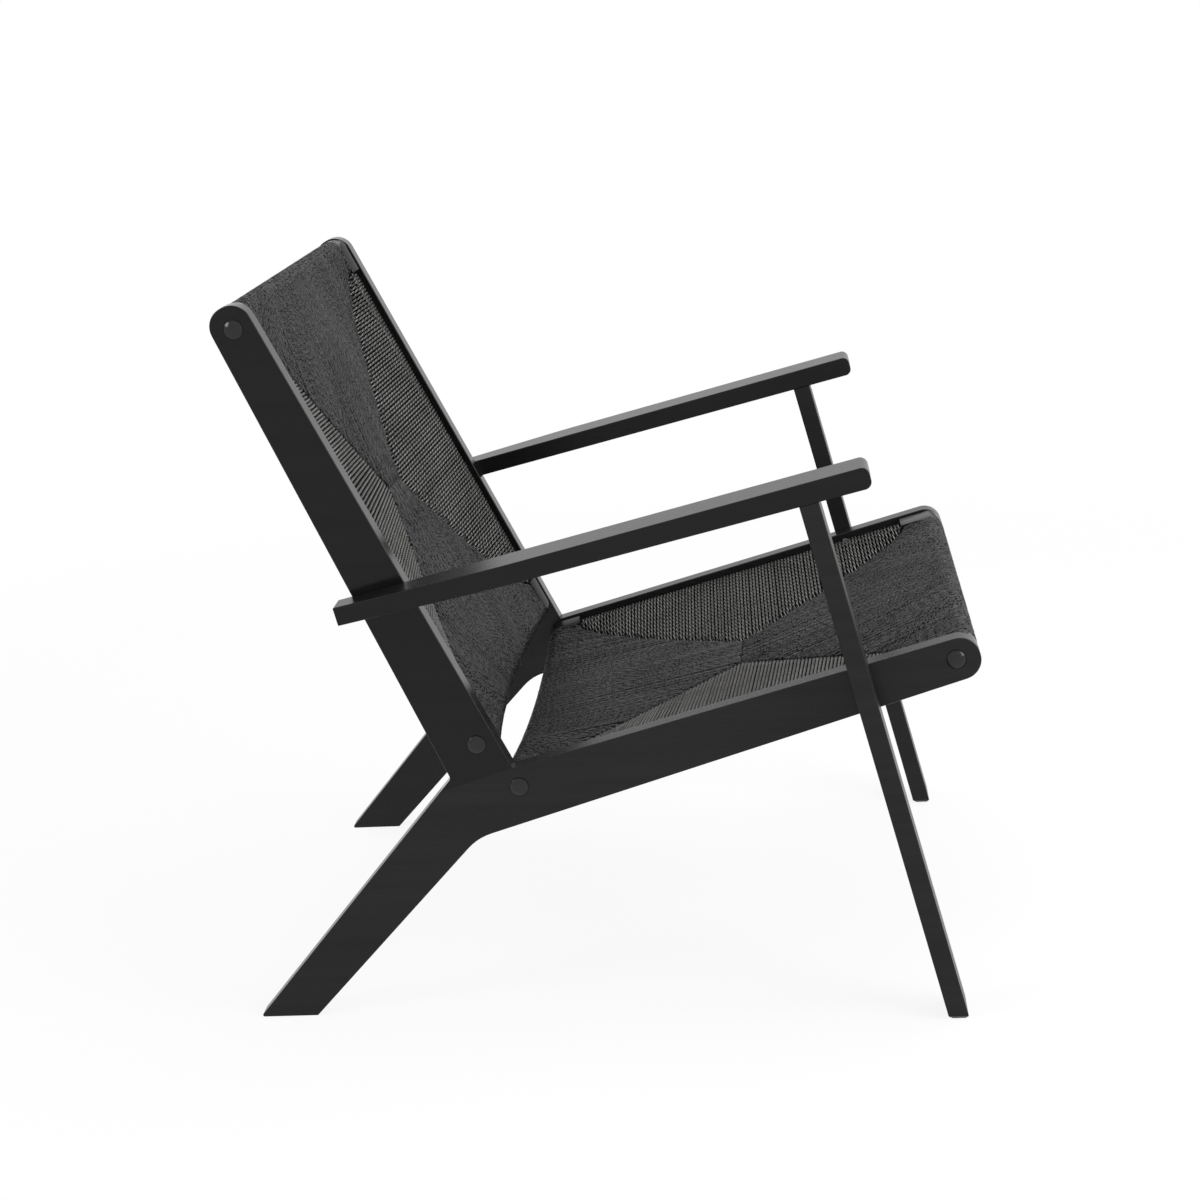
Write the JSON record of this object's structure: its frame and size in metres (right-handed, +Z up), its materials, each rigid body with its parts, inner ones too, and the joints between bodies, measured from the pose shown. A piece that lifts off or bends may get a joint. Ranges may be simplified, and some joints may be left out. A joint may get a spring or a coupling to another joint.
{
  "type": "wooden lounge armchair",
  "caption": "Low wooden lounge armchair with Y-shaped side frames, slim flat arms on splayed front legs, and a reclined seat and back wound with cord.",
  "frame": {"origin": "on the floor under the middle of the chair's box", "axes": "+Z up, the sitter faces -Y, +X is the sitter's left"},
  "size_m": [0.704, 0.8002, 0.793],
  "materials": {
    "black_wood": "black stain, satin lacquer",
    "panel_wood": "black stain, matt",
    "cord": "twisted charcoal cord",
    "cap": "black stain, satin lacquer",
    "steel": "zinc plated",
    "dowel_wood": "plain beech"
  },
  "bodies": {
    "root": {"back_upright_left": "black_wood", "back_upright_right": "black_wood", "seat_rail_leg_left": "black_wood", "seat_rail_leg_right": "black_wood", "front_leg_left": "black_wood", "front_leg_right": "black_wood", "armrest_left": "black_wood", "armrest_right": "black_wood", "seat_front_rail": "panel_wood", "seat_rear_rail": "panel_wood", "back_top_rail": "panel_wood", "back_bottom_rail": "panel_wood", "seat_side_rail_left": "panel_wood", "seat_side_rail_right": "panel_wood", "back_side_rail_left": "panel_wood", "back_side_rail_right": "panel_wood", "seat_cord": "cord", "back_cord": "cord", "bolt_caps": "cap", "frame_bolts": "steel", "threaded_inserts": "steel", "leg_screws": "steel", "arm_screws": "steel", "upright_dowels": "dowel_wood", "arm_dowels": "dowel_wood"}
  },
  "joints": []
}
